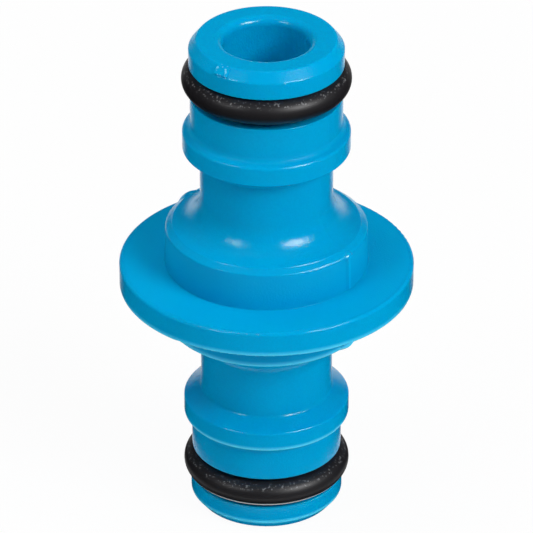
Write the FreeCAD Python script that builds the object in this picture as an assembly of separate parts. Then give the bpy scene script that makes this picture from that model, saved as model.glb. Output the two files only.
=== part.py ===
import FreeCAD, Part
import math
import os

# Two-way male adapter for click-on garden hose sockets. One moulded body with a straight
# waterway carries a quick-connect spigot at each end and a round flange in the middle.
# Each spigot has a nose, a seal groove, a land, a locking collar and a neck, and a rubber
# ring sits in each seal groove.
#
# Frame: the origin is on the waterway's axis, midway through the flange. +Z runs along
# the axis to the upper end. The two mould halves meet in the XZ plane, and the gate's
# scar faces -Y. Sizes are millimetres, angles are degrees.

# Waterway
bore_diameter = 8.7
bore_lip_round = 0.85

# Nose of each spigot
nose_diameter = 15.65
nose_length = 2.8
tip_chamfer_length = 1.0
tip_chamfer_depth = 0.8
tip_edge_round = 0.25
tip_foot_round = 0.25

# Rubber ring and its groove
ring_inner_diameter = 11.8
ring_section = 2.65
ring_seat_clearance = 0.02
ring_shift_to_tip = 0.15
groove_width = 3.4
groove_edge_round = 0.1
groove_floor_round = 0.15

# Land between the groove and the collar
land_diameter = 15.4
land_length = 3.58
land_edge_round = 0.1

# Locking collar: a short ramp on the tip side, a cone on the other that the claws hold
collar_diameter = 17.0
collar_width = 1.95
ramp_length = 0.4
ramp_foot_round = 0.6
ramp_edge_round = 0.35
shoulder_length = 1.1
shoulder_edge_round = 0.25
shoulder_foot_round = 0.4

# Neck, from the boss to the foot of the collar's shoulder, and its flare onto the boss
neck_diameter = 13.5
neck_length = 7.72
flare_round = 3.1
flare_end_slope = 5.0

# Boss on each side of the flange, with a fine step where the flare ends, a bevel that
# slopes down from there to the wall, and a little draft on the wall
boss_diameter = 20.8
boss_height = 4.35
boss_bevel_height = 0.4
boss_draft = 0.13
boss_corner_round = 0.2
boss_foot_round = 0.08
rim_width = 0.8
rim_step_height = 0.05
rim_step_run = 0.04

# Flange
flange_diameter = 30.0
flange_thickness = 2.7
flange_edge_round = 0.3

# Fine ridge where the mould halves meet, fainter above the boss's wall
ridge_width = 0.8
ridge_height = 0.045
faint_ridge_height = 0.015
ridge_sink = 0.02
ridge_corner_round = 0.2

# Nibs on the boss's corners, where the halves meet: small at the upper right, and
# large at the upper left and on both sides below
small_nib_round = 0.8
small_nib_height = 0.12
large_nib_round = 2.2
large_nib_height = 0.2

# Scar of the gate on the upper tip chamfer
gate_scar_width = 1.5
gate_scar_length = 0.95
gate_scar_height = 0.16
gate_scar_root = 0.5
gate_scar_tilt = 6.0
gate_scar_edge_round = 0.07

AXIS = FreeCAD.Vector(0, 0, 1)
ORIGIN = FreeCAD.Vector(0, 0, 0)
FRONT = FreeCAD.Vector(0, -1, 0)
SIDEWAYS = FreeCAD.Vector(1, 0, 0)
SAME_PLACE = 1e-6

# Radii
bore_radius = bore_diameter / 2
nose_radius = nose_diameter / 2
tip_face_radius = nose_radius - tip_chamfer_depth
ring_inner_radius = ring_inner_diameter / 2
groove_floor_radius = ring_inner_radius - ring_seat_clearance
land_radius = land_diameter / 2
collar_radius = collar_diameter / 2
neck_radius = neck_diameter / 2
boss_radius = boss_diameter / 2
boss_corner_radius = boss_radius - boss_draft
rim_edge_radius = boss_radius - rim_width
rim_foot_radius = rim_edge_radius + rim_step_run
flange_radius = flange_diameter / 2
inside_wall_radius = (bore_radius + groove_floor_radius) / 2

# Heights above the middle of the flange, from the flange out to the end face
flange_top = flange_thickness / 2
boss_top = flange_top + boss_height
boss_corner_height = boss_top - boss_bevel_height
rim_top = boss_top + rim_step_height
flare_foot = rim_top + (rim_edge_radius - neck_radius) * math.tan(math.radians(flare_end_slope))
shoulder_foot = boss_top + neck_length
collar_rear = shoulder_foot + shoulder_length
collar_front = collar_rear + collar_width
land_start = collar_front + ramp_length
groove_start = land_start + land_length
groove_middle = groove_start + groove_width / 2
nose_start = groove_start + groove_width
half_length = nose_start + nose_length


def upper_corners():
    # Corners of the upper half's section from the bore's mouth out and down to the
    # flange, each as its radius, its height and the round put on it.
    return [
        (bore_radius, half_length, bore_lip_round),
        (tip_face_radius, half_length, tip_edge_round),
        (nose_radius, half_length - tip_chamfer_length, tip_foot_round),
        (nose_radius, nose_start, groove_edge_round),
        (groove_floor_radius, nose_start, groove_floor_round),
        (groove_floor_radius, groove_start, groove_floor_round),
        (land_radius, groove_start, land_edge_round),
        (land_radius, land_start, ramp_foot_round),
        (collar_radius, collar_front, ramp_edge_round),
        (collar_radius, collar_rear, shoulder_edge_round),
        (neck_radius, shoulder_foot, shoulder_foot_round),
        (neck_radius, flare_foot, flare_round),
        (rim_edge_radius, rim_top, 0),
        (rim_foot_radius, boss_top, 0),
        (boss_corner_radius, boss_corner_height, boss_corner_round),
        (boss_radius, flange_top, boss_foot_round),
        (flange_radius, flange_top, flange_edge_round),
    ]


def ridge_corners(rise, faint_rise):
    # Corners of a section of the mould ridge, which stands out of the body's own line by
    # a rise. It runs from the land's end down to the flange and starts inside the wall.
    ridge_start = groove_start - 2 * land_edge_round
    ridge_end = flange_top - ridge_height
    return [
        (inside_wall_radius, ridge_start, 0),
        (land_radius + faint_rise, ridge_start, 0),
        (land_radius + faint_rise, land_start, ramp_foot_round),
        (collar_radius + faint_rise, collar_front, ramp_edge_round),
        (collar_radius + faint_rise, collar_rear, shoulder_edge_round),
        (neck_radius + faint_rise, shoulder_foot, shoulder_foot_round),
        (neck_radius + faint_rise, flare_foot + faint_rise, flare_round),
        (rim_edge_radius, rim_top + faint_rise, 0),
        (boss_corner_radius + rise, boss_corner_height + rise, ridge_corner_round),
        (boss_radius + rise, ridge_end, 0),
        (inside_wall_radius, ridge_end, 0),
    ]


def rounded_wire(corners):
    # A closed wire through the corners, each replaced by a tangent arc of its round.
    # Where two neighbouring rounds ask for more than the straight between them, both
    # are made smaller in the same proportion.
    count = len(corners)
    places = [FreeCAD.Vector(radius, 0, height) for radius, height, size in corners]
    half_angles = []
    setbacks = []
    for i in range(count):
        back = places[i - 1] - places[i]
        ahead = places[(i + 1) % count] - places[i]
        half_angles.append(back.getAngle(ahead) / 2)
        setbacks.append(corners[i][2] / math.tan(half_angles[i]))
    shares = [1.0] * count
    for i in range(count):
        following = (i + 1) % count
        straight = (places[following] - places[i]).Length
        wanted = setbacks[i] + setbacks[following]
        if wanted > straight:
            shares[i] = min(shares[i], straight / wanted)
            shares[following] = min(shares[following], straight / wanted)
    edges = []
    starts = []
    ends = []
    arcs = []
    for i in range(count):
        back = (places[i - 1] - places[i]).normalize()
        ahead = (places[(i + 1) % count] - places[i]).normalize()
        setback = setbacks[i] * shares[i]
        starts.append(places[i] + back * setback)
        ends.append(places[i] + ahead * setback)
        if setback > 0:
            bend = setback * math.tan(half_angles[i])
            to_centre = (back + ahead).normalize()
            middle = places[i] + to_centre * (bend / math.sin(half_angles[i]) - bend)
            arcs.append(Part.Arc(starts[i], middle, ends[i]).toShape())
        else:
            arcs.append(None)
    for i in range(count):
        if not starts[i].isEqual(ends[i - 1], SAME_PLACE):
            edges.append(Part.LineSegment(ends[i - 1], starts[i]).toShape())
        if arcs[i]:
            edges.append(arcs[i])
    return Part.Wire(edges)


def mirrored_below(shape):
    return shape.mirror(ORIGIN, AXIS)


def make_turned_body():
    # The whole section is the upper half's corners and the same corners mirrored below.
    upper = upper_corners()
    lower = [(radius, -height, size) for radius, height, size in reversed(upper)]
    section = Part.Face(rounded_wire(upper + lower))
    return section.revolve(ORIGIN, AXIS, 360)


def make_ridges():
    # A roof-shaped ridge at each side of each spigot, with its crest in the plane where
    # the halves meet and its two feet sunk a little into the body.
    crest = rounded_wire(ridge_corners(ridge_height, faint_ridge_height))
    front_foot = rounded_wire(ridge_corners(-ridge_sink, -ridge_sink))
    back_foot = front_foot.copy()
    front_foot.translate(FRONT * (ridge_width / 2))
    back_foot.translate(FRONT * (-ridge_width / 2))
    right = Part.makeLoft([front_foot, crest, back_foot], True, True)
    left = right.mirror(ORIGIN, SIDEWAYS)
    return [right, left, mirrored_below(right), mirrored_below(left)]


def make_nib(nib_round, nib_height):
    # The boss's corner left square there, within a ball that stands out of the corner
    # below the bevel by the nib's height.
    foot = AXIS * (boss_corner_height - boss_bevel_height)
    height = 2 * boss_bevel_height
    outside = Part.makeCylinder(boss_radius, height, foot, AXIS)
    inside = Part.makeCylinder(rim_foot_radius, height, foot, AXIS)
    sink = (nib_round - nib_height) / math.sqrt(2)
    middle = FreeCAD.Vector(boss_corner_radius - sink, 0, boss_corner_height - sink)
    return outside.cut(inside).common(Part.makeSphere(nib_round, middle))


def make_nibs():
    upper_right = make_nib(small_nib_round, small_nib_height)
    large = make_nib(large_nib_round, large_nib_height)
    upper_left = large.mirror(ORIGIN, SIDEWAYS)
    return [upper_right, upper_left, mirrored_below(large), mirrored_below(upper_left)]


def make_gate_scar():
    # A low pad on the upper tip chamfer, leaning a little from the chamfer's slope.
    depth = gate_scar_root + gate_scar_height
    pad = Part.makeBox(gate_scar_width, gate_scar_length, depth)
    pad.translate(FreeCAD.Vector(-gate_scar_width / 2, -gate_scar_length / 2, -gate_scar_root))
    top_edges = [edge for edge in pad.Edges if edge.BoundBox.ZMin > 0]
    pad = pad.makeFillet(gate_scar_edge_round, top_edges)
    chamfer_lean = math.degrees(math.atan2(tip_chamfer_length, tip_chamfer_depth))
    pad.rotate(ORIGIN, SIDEWAYS, chamfer_lean - gate_scar_tilt)
    middle_radius = tip_face_radius + tip_chamfer_depth / 2
    middle_height = half_length - tip_chamfer_length / 2
    pad.translate(FRONT * middle_radius + AXIS * middle_height)
    return pad


def make_body():
    marks = make_ridges() + make_nibs() + [make_gate_scar()]
    return make_turned_body().multiFuse(marks).removeSplitter()


def make_upper_ring():
    ring_middle_radius = ring_inner_radius + ring_section / 2
    height = groove_middle + ring_shift_to_tip
    return Part.makeTorus(ring_middle_radius, ring_section / 2, AXIS * height, AXIS)


def save(shape, node):
    shape.exportStep("parts/" + node + ".step")


os.makedirs("parts", exist_ok=True)
save(make_body(), "adapter_body")
save(make_upper_ring(), "upper_o_ring")
save(mirrored_below(make_upper_ring()), "lower_o_ring")
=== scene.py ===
"""Looks of the two-way male hose adapter: camera, soft studio, materials and mould marks."""
import math
import bpy
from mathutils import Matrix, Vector


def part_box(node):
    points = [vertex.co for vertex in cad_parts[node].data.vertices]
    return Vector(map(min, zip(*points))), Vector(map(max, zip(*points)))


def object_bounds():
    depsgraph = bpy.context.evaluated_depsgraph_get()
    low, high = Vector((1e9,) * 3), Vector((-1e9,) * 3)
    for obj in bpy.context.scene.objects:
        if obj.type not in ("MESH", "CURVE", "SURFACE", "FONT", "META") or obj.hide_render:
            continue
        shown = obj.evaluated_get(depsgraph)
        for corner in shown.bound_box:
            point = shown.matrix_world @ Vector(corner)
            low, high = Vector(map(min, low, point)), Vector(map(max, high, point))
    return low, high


MM = 0.001
ORIGIN = Vector((0.0, 0.0, 0.0))

# Camera, from a fit to the photograph's outline
PICTURE_PIXELS = 533
FOCAL_PIXELS = 5298.7
SENSOR_MM = 36.0
NEAREST_SEEN = 0.01
FURTHEST_SEEN = 20.0
CAMERA_DISTANCE = 0.540
CAMERA_AZIMUTH = 36.0
CAMERA_ELEVATION = 30.3
TARGET = Vector((0.0, 0.0, 0.000386))

# Lamps: name, azimuth from the camera's, elevation, distance, width and height, watts and
# whether gloss shows the lamp
LAMPS = [
    ("right_box", 50.0, 35.5, 1.0, (0.47, 0.34), 6.7, True),
    ("left_box", -52.0, 36.5, 1.0, (0.27, 0.30), 1.45, True),
    ("left_fill", -60.0, 66.0, 1.0, (0.50, 0.50), 2.0, False),
    ("top_fill", 0.0, 88.0, 1.2, (1.30, 1.30), 3.1, False),
    ("right_fill", 60.0, 60.0, 1.0, (0.50, 0.50), 1.0, False),
    ("back_left_fill", -125.0, 35.0, 1.0, (0.60, 0.60), 1.6, False),
    ("back_fill", 180.0, 55.0, 1.0, (0.50, 0.50), 0.6, False),
]

# Room and white backdrop. To the sides the backdrop ends where the cosine of the angle
# from straight behind is BACKDROP_EDGE, and upwards where a direction's height is
# BACKDROP_TOP.
WHITE = (1.0, 1.0, 1.0, 1.0)
ROOM_COLOUR = (0.85, 0.94, 1.0, 1.0)
ROOM_LIGHT = 0.02
BACKDROP_EDGE = 0.75
BACKDROP_TOP = 0.15

# Floor. Gloss sees a thin white ring round the object's foot, and the shadow shows
# faintly through the white until it has faded, both by the distance from the axis.
PAPER = (0.86, 0.86, 0.87, 1.0)
FLOOR_HALF = 3.0
GLOSS_RING_STARTS = (0.0115, 0.0130)
GLOSS_RING_ENDS = (0.0140, 0.0160)
SHADOW_FADES = (0.05, 0.25)
WHITE_OVER_SHADOW = 0.95

# Blue plastic, colours linear
BLUE = (0.0, 0.380, 0.700, 1.0)
BLUE_DEEP = (0.0, 0.357, 0.672, 1.0)
# Painted highlight and painted shade of the ridge on the boss's right wall
RIDGE_PAINTED_HIGHLIGHT = (0.0, 0.42, 0.75, 1.0)
RIDGE_PAINTED_SHADE = (0.0, 0.335, 0.645, 1.0)
# Pale flecks painted as glints on the gate's scar
SCAR_PAINTED_GLINT = (0.22, 0.70, 0.92, 1.0)
# Painted light of the floor on the lower edges
PAINTED_FLOOR_LIGHT = (0.10, 0.72, 1.0, 1.0)
GLOSS_TINT = (0.92, 1.0, 0.75, 1.0)
PLASTIC_IOR = 1.5
SCATTER_WEIGHT = 0.35
SCATTER_RADIUS = (0.2, 0.6, 1.0)
SCATTER_DEPTH_MM = 1.2
DULL_ROUGHNESS = 0.25
DULL_GLOSS = 0.08

# Black rubber, colours linear
RUBBER = (0.011, 0.010, 0.012, 1.0)
# Pale specks painted as glints on the rings' upper slopes
RUBBER_PAINTED_GLINT = (0.15, 0.15, 0.155, 1.0)
# Pale line under the lower ring, a painted reflection of the floor
RUBBER_PAINTED_REFLECTION = (0.80, 0.75, 0.66, 1.0)
RUBBER_IOR = 1.54
RUBBER_ROUGHNESS = 0.44

# Noises: scale per metre and detail
CLOUD_NOISE = (160.0, 3.0)
GRAIN_NOISE = (5200.0, 2.0)
SCAR_GLINT_NOISE = (2600.0, 1.0)
RING_GLINT_NOISE = (3600.0, 1.0)
RUBBER_NOISE = (3000.0, 3.0)

# What the noises drive: two values of the noise, and the result at each
CLOUD_ROUGHNESS = (0.3, 0.7, 0.07, 0.11)
GRAIN_GLOSS = (0.38, 0.60, 0.22, 0.64)
SCAR_GLINT_FLECKS = (0.56, 0.70, 0.0, 0.8)
RING_GLINT_SPECKS = (0.58, 0.70, 0.0, 1.0)

# Bumps: strength and depth in millimetres
GRAIN_BUMP = (0.8, 0.035)
RUBBER_BUMP = (0.3, 0.02)

# The body's section where its finish changes, in millimetres: distances from the axis,
# and heights from the flange's middle, up and down alike
FLANGE_RADIUS = 15.0
FLANGE_FACE = 1.35
BOSS_RADIUS = 10.3
BOSS_CORNER = 5.35
COLLAR_RADIUS = 8.5
COLLAR_FRONT = 16.47
NOSE_RADIUS = 7.83
NOSE_CORNER = 25.65
TIP_FACE_RADIUS = 7.03
PAST_THE_TIP = 27.0

# Edges below the middle where the light of the floor is painted into the colour: distance
# from the axis, height and how far the painted light reaches, in millimetres
PAINTED_LIGHT_EDGES = [
    (FLANGE_RADIUS, -FLANGE_FACE, 0.70),
    (BOSS_RADIUS, -BOSS_CORNER, 0.65),
    (COLLAR_RADIUS, -COLLAR_FRONT, 0.50),
    (NOSE_RADIUS, -NOSE_CORNER, 0.40),
]

# Zones, in millimetres: for each coordinate its low end, its high end and the softness of
# both. The radius is the distance from the axis, the level the height from the flange's
# middle, up and down alike, and the rise the height above the middle of a rubber ring.
# Where a zone ends near a corner of the section, it ends a little way off it.
BOSS_WALL_AND_FLANGE = {
    "level": (-1.0, BOSS_CORNER - 0.2, 0.05),
    "radius": (BOSS_RADIUS - 0.3, FLANGE_RADIUS - 0.5, 0.1),
}
TIP_CHAMFERS = {
    "level": (NOSE_CORNER + 0.12, PAST_THE_TIP, 0.04),
    "radius": (TIP_FACE_RADIUS - 0.08, NOSE_RADIUS + 0.17, 0.04),
}
RAMP_FEET = {
    "level": (COLLAR_FRONT + 0.25, COLLAR_FRONT + 0.83, 0.05),
    "radius": (COLLAR_RADIUS - 1.5, COLLAR_RADIUS - 0.4, 0.1),
}
DULL_ZONES = [BOSS_WALL_AND_FLANGE, TIP_CHAMFERS, RAMP_FEET]
# The ridge's lit and shaded flanks on the boss's right wall, painted as a light line on it and a dark
# line beside it
RIDGE_HIGHLIGHT_ZONE = {
    "z": (FLANGE_FACE + 0.05, BOSS_CORNER - 0.2, 0.05),
    "x": (BOSS_RADIUS - 0.1, BOSS_RADIUS + 0.4, 0.02),
    "y": (-0.16, 0.20, 0.05),
}
RIDGE_SHADE_ZONE = {
    "z": RIDGE_HIGHLIGHT_ZONE["z"],
    "x": RIDGE_HIGHLIGHT_ZONE["x"],
    "y": (-0.62, -0.16, 0.08),
}
GATE_SCAR = {
    "x": (-0.72, 0.72, 0.05),
    "y": (-8.1, -6.95, 0.05),
    "z": (NOSE_CORNER - 0.05, PAST_THE_TIP, 0.05),
}
# The rings' upper slopes, where pale specks are painted as glints
RING_GLINT_SLOPES = {
    "rise": (0.80, 1.20, 0.15),
}
# Under the lower ring, where the floor's reflection is painted as a pale line
LOWER_RING_REFLECTION_ZONE = {
    "rise": (-1.25, -0.76, 0.06),
    "z": (-25.0, -20.0, 0.1),
}


def direction(azimuth, elevation):
    """Unit vector towards a place seen from the object; azimuth 0 is -Y and 90 is +X."""
    turn = math.radians(azimuth)
    tilt = math.radians(elevation)
    return Vector((math.sin(turn) * math.cos(tilt), -math.cos(turn) * math.cos(tilt), math.sin(tilt)))


def link(obj):
    bpy.context.scene.collection.objects.link(obj)
    return obj


def aim(obj, place, target):
    obj.location = place
    obj.rotation_mode = "QUATERNION"
    obj.rotation_quaternion = (place - target).to_track_quat("Z", "Y")


def make_camera():
    data = bpy.data.cameras.new("camera")
    data.sensor_width = SENSOR_MM
    data.lens = SENSOR_MM * FOCAL_PIXELS / PICTURE_PIXELS
    data.clip_start = NEAREST_SEEN
    data.clip_end = FURTHEST_SEEN
    camera = link(bpy.data.objects.new("camera", data))
    aim(camera, TARGET + direction(CAMERA_AZIMUTH, CAMERA_ELEVATION) * CAMERA_DISTANCE, TARGET)
    bpy.context.scene.camera = camera


def make_lamp(name, azimuth, elevation, distance, size, watts, in_gloss):
    data = bpy.data.lights.new(name, "AREA")
    data.shape = "RECTANGLE"
    data.size, data.size_y = size
    data.energy = watts
    lamp = link(bpy.data.objects.new(name, data))
    lamp.visible_glossy = in_gloss
    aim(lamp, direction(CAMERA_AZIMUTH + azimuth, elevation) * distance, ORIGIN)


class Nodes:
    """A node tree with a short way to add nodes and fill their sockets."""

    def __init__(self, tree):
        self.tree = tree
        tree.nodes.clear()

    def add(self, kind, inputs=None, **settings):
        """A new node with its settings, and its inputs by name or number."""
        node = self.tree.nodes.new(kind)
        for name, value in settings.items():
            setattr(node, name, value)
        for name, value in (inputs or {}).items():
            self.fill(node.inputs[name], value)
        return node

    def fill(self, socket, value):
        """Links another node's socket to an input, or sets a plain value on it."""
        if isinstance(value, bpy.types.NodeSocket):
            self.tree.links.new(value, socket)
        else:
            socket.default_value = value


def combined(nodes, operation, *values):
    """The number that an operation makes of one or two numbers."""
    return nodes.add("ShaderNodeMath", dict(enumerate(values)), operation=operation).outputs[0]


def joined(nodes, operation, values):
    """The number that an operation makes of many, taken one after another."""
    result = values[0]
    for value in values[1:]:
        result = combined(nodes, operation, result, value)
    return result


def vectors(nodes, operation, *values):
    """The outputs of an operation on one or two vectors: its result is Vector or Value."""
    return nodes.add("ShaderNodeVectorMath", dict(enumerate(values)), operation=operation).outputs


def ramp(nodes, value, start, end, at_start, at_end):
    """A smooth change from one value to another as a number goes from start to end."""
    inputs = {"Value": value, "From Min": start, "From Max": end, "To Min": at_start, "To Max": at_end}
    return nodes.add("ShaderNodeMapRange", inputs, interpolation_type="SMOOTHSTEP").outputs["Result"]


def within(nodes, value, low, high, blur):
    """1 where a number is from low to high, 0 outside, with soft ends."""
    from_low = ramp(nodes, value, low - blur, low + blur, 0.0, 1.0)
    to_high = ramp(nodes, value, high - blur, high + blur, 1.0, 0.0)
    return combined(nodes, "MULTIPLY", from_low, to_high)


def inside(nodes, at, zone):
    """1 inside a zone, 0 outside, with soft ends."""
    shares = [within(nodes, at[name], low * MM, high * MM, blur * MM)
              for name, (low, high, blur) in zone.items()]
    return joined(nodes, "MULTIPLY", shares)


def noise(nodes, at, scale, detail):
    """A number that wanders about 0.5 from place to place."""
    inputs = {"Vector": at["place"], "Scale": scale, "Detail": detail}
    return nodes.add("ShaderNodeTexNoise", inputs).outputs["Fac"]


def bumped(nodes, height, strength, depth):
    """The surface's normal, tilted by a height that varies over the surface."""
    inputs = {"Height": height, "Strength": strength, "Distance": depth * MM}
    return nodes.add("ShaderNodeBump", inputs).outputs["Normal"]


def mixed_numbers(nodes, share, first, second):
    """A mix of two numbers by a share: 0 gives the first and 1 the second."""
    inputs = {"Factor": share, "A": first, "B": second}
    return nodes.add("ShaderNodeMix", inputs, data_type="FLOAT").outputs["Result"]


def colour_socket(sockets, name):
    return next(socket for socket in sockets if socket.name == name and socket.type == "RGBA")


def mixed_colours(nodes, share, first, second):
    """A mix of two colours by a share: 0 gives the first and 1 the second."""
    node = nodes.add("ShaderNodeMix", {"Factor": share}, data_type="RGBA")
    nodes.fill(colour_socket(node.inputs, "A"), first)
    nodes.fill(colour_socket(node.inputs, "B"), second)
    return colour_socket(node.outputs, "Result")


def mixed_shaders(nodes, share, first, second):
    """A mix of two shader nodes by a share: 0 gives the first and 1 the second."""
    return nodes.add("ShaderNodeMixShader", {0: share, 1: first.outputs[0], 2: second.outputs[0]})


def flattened(nodes, place):
    """A place without its height."""
    return vectors(nodes, "MULTIPLY", place, (1.0, 1.0, 0.0))["Vector"]


def axis_distance(nodes, place):
    return vectors(nodes, "LENGTH", flattened(nodes, place))["Value"]


def backdrop_share(nodes, place):
    """How much of the white backdrop lies towards a place: all of it straight behind the
    object as pictured, less to the sides, and none past the backdrop's edge."""
    behind = -direction(CAMERA_AZIMUTH, 0.0)
    towards = vectors(nodes, "NORMALIZE", flattened(nodes, place))["Vector"]
    along = vectors(nodes, "DOT_PRODUCT", towards, behind)["Value"]
    return ramp(nodes, along, BACKDROP_EDGE, 1.0, 0.0, 1.0)


def eye_and_gloss(nodes):
    """Two numbers: 1 for a ray of the eye, straight or through glass, and 1 for gloss."""
    path = nodes.add("ShaderNodeLightPath").outputs
    eye = combined(nodes, "MAXIMUM", path["Is Camera Ray"], path["Is Transmission Ray"])
    return eye, path["Is Glossy Ray"]


def shown_white(nodes, gloss_share):
    """The strength of the white: all of it for the eye, and a share of it for gloss."""
    eye, gloss = eye_and_gloss(nodes)
    return combined(nodes, "MAXIMUM", eye, combined(nodes, "MULTIPLY", gloss, gloss_share))


def make_world():
    """White to the eye all round, and a dim room to the object. Gloss sees the white only
    where the backdrop stands, low down behind the object."""
    world = bpy.data.worlds.new("studio")
    bpy.context.scene.world = world
    world.use_nodes = True
    nodes = Nodes(world.node_tree)
    towards = nodes.add("ShaderNodeTexCoord").outputs["Generated"]
    height = nodes.add("ShaderNodeSeparateXYZ", {0: towards}).outputs["Z"]
    low_down = ramp(nodes, height, 0.0, BACKDROP_TOP, 1.0, 0.0)
    backdrop = combined(nodes, "MULTIPLY", backdrop_share(nodes, towards), low_down)
    room = nodes.add("ShaderNodeBackground", {"Color": ROOM_COLOUR, "Strength": ROOM_LIGHT})
    white = nodes.add("ShaderNodeBackground", {"Color": WHITE, "Strength": 1.0})
    mix = mixed_shaders(nodes, shown_white(nodes, backdrop), room, white)
    nodes.add("ShaderNodeOutputWorld", {"Surface": mix.outputs[0]})


def new_material(name):
    """A material and its empty node tree."""
    material = bpy.data.materials.new(name)
    material.use_nodes = True
    return material, Nodes(material.node_tree)


def make_paper():
    """Paper that the eye sees as white, with a faint shadow near the object. Gloss sees it
    white behind the object and in a thin ring round its foot, and dark elsewhere."""
    material, nodes = new_material("paper")
    place = nodes.add("ShaderNodeTexCoord").outputs["Object"]
    reach = axis_distance(nodes, place)
    ring = combined(nodes, "MULTIPLY", ramp(nodes, reach, *GLOSS_RING_STARTS, 0.0, 1.0),
                    ramp(nodes, reach, *GLOSS_RING_ENDS, 1.0, 0.0))
    gloss_share = combined(nodes, "MAXIMUM", ring, backdrop_share(nodes, place))
    white = nodes.add("ShaderNodeEmission", {"Color": WHITE, "Strength": shown_white(nodes, gloss_share)})
    paper = nodes.add("ShaderNodeBsdfDiffuse", {"Color": PAPER})
    eye, gloss = eye_and_gloss(nodes)
    over_shadow = ramp(nodes, reach, *SHADOW_FADES, WHITE_OVER_SHADOW, 1.0)
    white_share = combined(nodes, "MAXIMUM", combined(nodes, "MULTIPLY", eye, over_shadow), gloss)
    mix = mixed_shaders(nodes, white_share, paper, white)
    nodes.add("ShaderNodeOutputMaterial", {"Surface": mix.outputs[0]})
    return material


def make_floor(height):
    mesh = bpy.data.meshes.new("floor")
    signs = [(-1, -1), (1, -1), (1, 1), (-1, 1)]
    corners = [(x * FLOOR_HALF, y * FLOOR_HALF, height) for x, y in signs]
    mesh.from_pydata(corners, [], [(0, 1, 2, 3)])
    mesh.materials.append(make_paper())
    link(bpy.data.objects.new("floor", mesh))


def surface_places(nodes):
    """Where a point of the object lies: its place, and that place's three coordinates."""
    place = nodes.add("ShaderNodeTexCoord").outputs["Object"]
    parts = nodes.add("ShaderNodeSeparateXYZ", {0: place}).outputs
    return {"place": place, "x": parts["X"], "y": parts["Y"], "z": parts["Z"]}


def painted_edge_light(nodes, at):
    """1 on the lower edges where the light of the floor is painted, 0 beyond its reach."""
    section = nodes.add("ShaderNodeCombineXYZ", {"X": at["radius"], "Y": at["z"]}).outputs[0]
    painted_lights = []
    for radius, height, reach in PAINTED_LIGHT_EDGES:
        gap = vectors(nodes, "DISTANCE", section, (radius * MM, height * MM, 0.0))["Value"]
        painted_lights.append(ramp(nodes, gap, 0.0, reach * MM, 1.0, 0.0))
    return joined(nodes, "MAXIMUM", painted_lights)


def plastic_colour(nodes, at, cloud):
    """Two near blues in soft clouds, with a painted highlight and painted shade at the ridge on the
    boss's right wall, painted light of the floor on the lower edges and pale flecks painted as
    glints on the gate's scar."""
    # Pale flecks on the gate's scar, painted glints
    scar_glint_specks = ramp(nodes, noise(nodes, at, *SCAR_GLINT_NOISE), *SCAR_GLINT_FLECKS)
    scar_glints = combined(nodes, "MULTIPLY", inside(nodes, at, GATE_SCAR), scar_glint_specks)
    colour = mixed_colours(nodes, cloud, BLUE, BLUE_DEEP)
    # Painted shade beside the ridge, then a painted highlight on it
    colour = mixed_colours(nodes, inside(nodes, at, RIDGE_SHADE_ZONE), colour, RIDGE_PAINTED_SHADE)
    colour = mixed_colours(nodes, inside(nodes, at, RIDGE_HIGHLIGHT_ZONE), colour, RIDGE_PAINTED_HIGHLIGHT)
    # Painted light of the floor on the lower edges
    colour = mixed_colours(nodes, painted_edge_light(nodes, at), colour, PAINTED_FLOOR_LIGHT)
    return mixed_colours(nodes, scar_glints, colour, SCAR_PAINTED_GLINT)


def make_plastic():
    """Glossy blue plastic with a fine grain, duller on its flat faces."""
    material, nodes = new_material("blue_plastic")
    at = surface_places(nodes)
    at["radius"] = axis_distance(nodes, at["place"])
    at["level"] = combined(nodes, "ABSOLUTE", at["z"])
    cloud = noise(nodes, at, *CLOUD_NOISE)
    grain = noise(nodes, at, *GRAIN_NOISE)
    dull = joined(nodes, "MAXIMUM", [inside(nodes, at, zone) for zone in DULL_ZONES])
    shader = nodes.add("ShaderNodeBsdfPrincipled", {
        "Base Color": plastic_colour(nodes, at, cloud),
        "Roughness": mixed_numbers(nodes, dull, ramp(nodes, cloud, *CLOUD_ROUGHNESS), DULL_ROUGHNESS),
        "IOR": PLASTIC_IOR,
        "Normal": bumped(nodes, grain, *GRAIN_BUMP),
        "Specular IOR Level": mixed_numbers(nodes, dull, ramp(nodes, grain, *GRAIN_GLOSS), DULL_GLOSS),
        "Specular Tint": GLOSS_TINT,
        "Subsurface Weight": SCATTER_WEIGHT,
        "Subsurface Radius": SCATTER_RADIUS,
        "Subsurface Scale": SCATTER_DEPTH_MM * MM,
    })
    nodes.add("ShaderNodeOutputMaterial", {"Surface": shader.outputs[0]})
    return material


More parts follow.
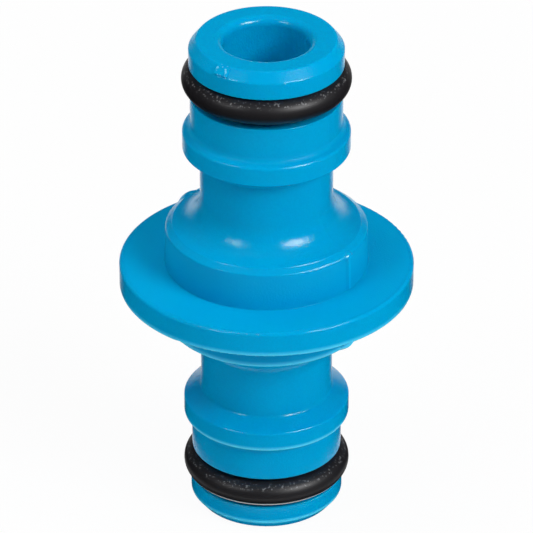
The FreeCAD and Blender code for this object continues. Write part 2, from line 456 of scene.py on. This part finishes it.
def make_rubber(ring_level):
    """Dull black rubber with pale specks painted as glints on each ring's upper slope and a pale
    line under the lower ring, a painted reflection of the floor. The rings' middles lie at the
    ring level above and below the flange's."""
    material, nodes = new_material("black_rubber")
    at = surface_places(nodes)
    ring_height = combined(nodes, "MULTIPLY", combined(nodes, "SIGN", at["z"]), ring_level)
    at["rise"] = combined(nodes, "SUBTRACT", at["z"], ring_height)
    # Pale specks painted as glints on the upper slope
    ring_glint_specks = ramp(nodes, noise(nodes, at, *RING_GLINT_NOISE), *RING_GLINT_SPECKS)
    ring_glints = combined(nodes, "MULTIPLY", ring_glint_specks, inside(nodes, at, RING_GLINT_SLOPES))
    glinting_rubber = mixed_colours(nodes, ring_glints, RUBBER, RUBBER_PAINTED_GLINT)
    shader = nodes.add("ShaderNodeBsdfPrincipled", {
        # Pale line under the lower ring, a painted reflection of the floor
        "Base Color": mixed_colours(nodes, inside(nodes, at, LOWER_RING_REFLECTION_ZONE), glinting_rubber, RUBBER_PAINTED_REFLECTION),
        "Roughness": RUBBER_ROUGHNESS,
        "IOR": RUBBER_IOR,
        "Normal": bumped(nodes, noise(nodes, at, *RUBBER_NOISE), *RUBBER_BUMP),
    })
    nodes.add("ShaderNodeOutputMaterial", {"Surface": shader.outputs[0]})
    return material


def dress(node, material):
    """Gives a CAD node one material."""
    node.data.materials.clear()
    node.data.materials.append(material)


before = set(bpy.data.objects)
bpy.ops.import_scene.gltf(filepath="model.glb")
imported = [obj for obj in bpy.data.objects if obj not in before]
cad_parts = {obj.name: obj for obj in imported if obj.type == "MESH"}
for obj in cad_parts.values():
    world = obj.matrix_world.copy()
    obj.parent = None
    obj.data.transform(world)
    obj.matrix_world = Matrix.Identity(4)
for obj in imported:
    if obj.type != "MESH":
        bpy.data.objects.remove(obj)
cad_low, cad_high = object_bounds()
ring_low, ring_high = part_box("upper_o_ring")
bpy.context.scene.view_settings.view_transform = "Standard"
make_camera()
make_world()
make_floor(cad_low.z)
for lamp in LAMPS:
    make_lamp(*lamp)

rubber = make_rubber((ring_low.z + ring_high.z) / 2)
dress(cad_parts["adapter_body"], make_plastic())
dress(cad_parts["upper_o_ring"], rubber)
dress(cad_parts["lower_o_ring"], rubber)
